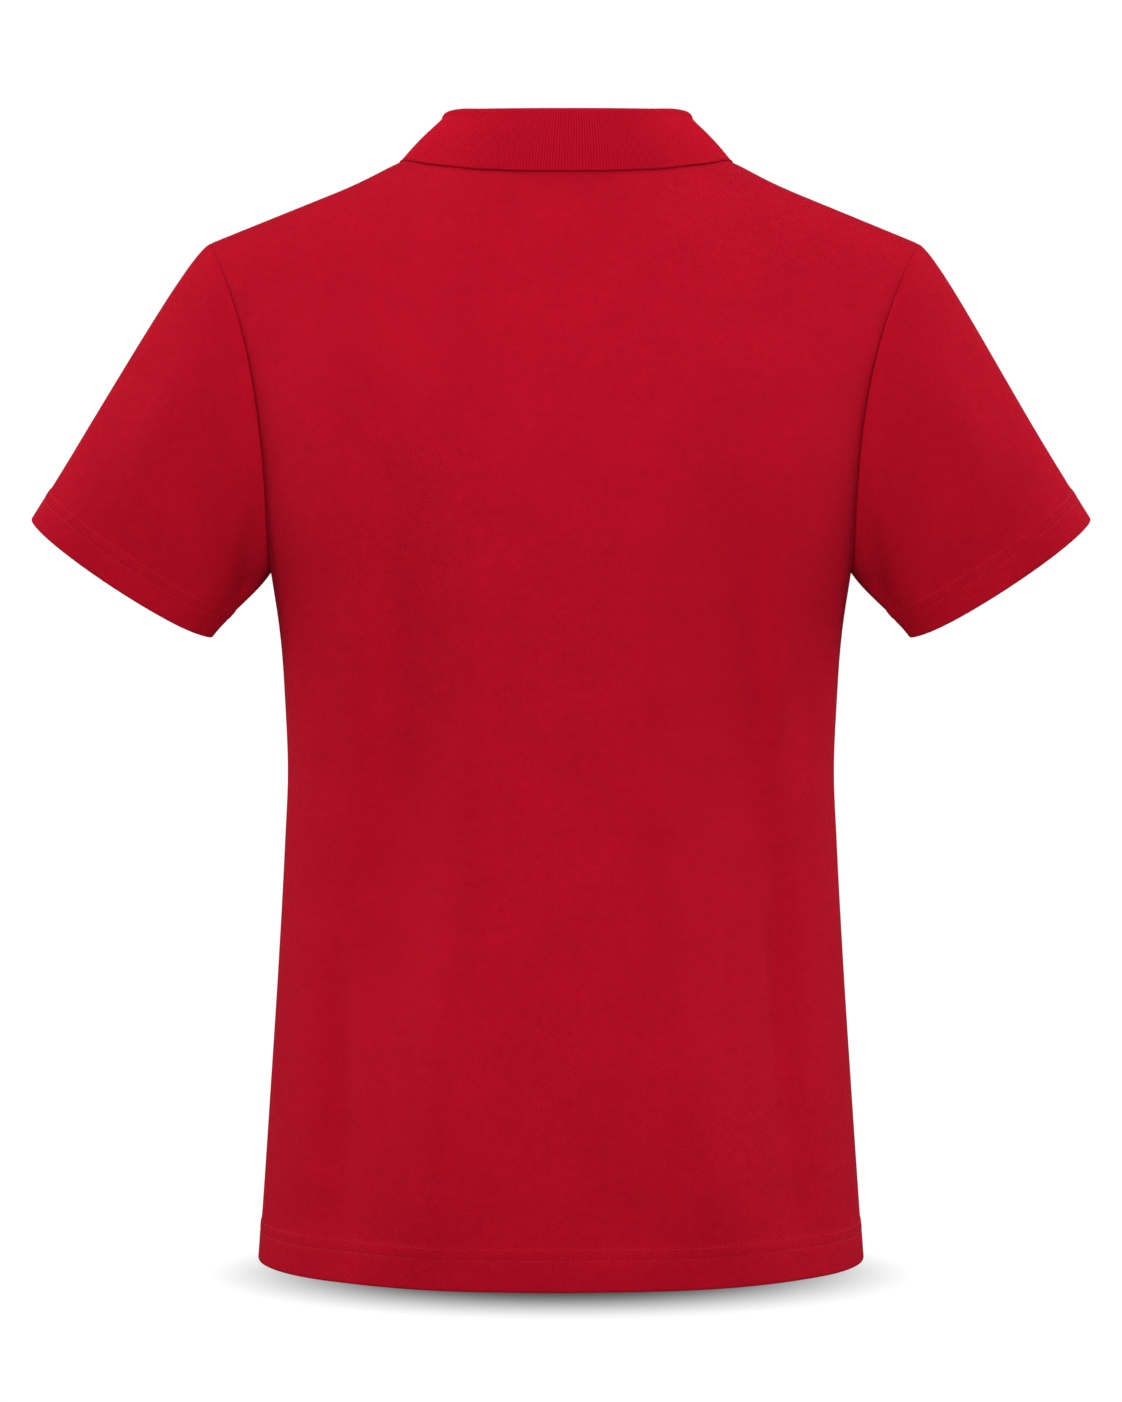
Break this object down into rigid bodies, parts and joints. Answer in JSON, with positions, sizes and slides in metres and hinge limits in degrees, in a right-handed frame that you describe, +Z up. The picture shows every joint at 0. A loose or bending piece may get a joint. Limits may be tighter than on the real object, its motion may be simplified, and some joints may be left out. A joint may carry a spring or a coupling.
{
  "type": "polo shirt",
  "caption": "Short-sleeved pique polo shirt in its worn, hollow shape, with a folded rib collar, a buttoned placket and turned hems.",
  "frame": {"origin": "middle of the neck opening, level with the side neck points, where a wearer's shoulders hold the shirt", "axes": "+Z up, -Y out of the front (placket side), +Y out of the back, +X towards the wearer's left"},
  "size_m": [0.6752, 0.2601, 0.7309],
  "materials": {
    "pique": "matt red cotton pique knit",
    "rib": "matt red flat-knitted rib",
    "button": "dyed-to-match red resin, half gloss"
  },
  "bodies": {
    "root": {"back_panel": "pique", "front_panel": "pique", "sleeve_left": "pique", "sleeve_right": "pique", "placket_top": "pique", "placket_under": "pique", "collar": "rib", "button_1": "button", "button_2": "button", "button_3": "button"}
  },
  "joints": []
}
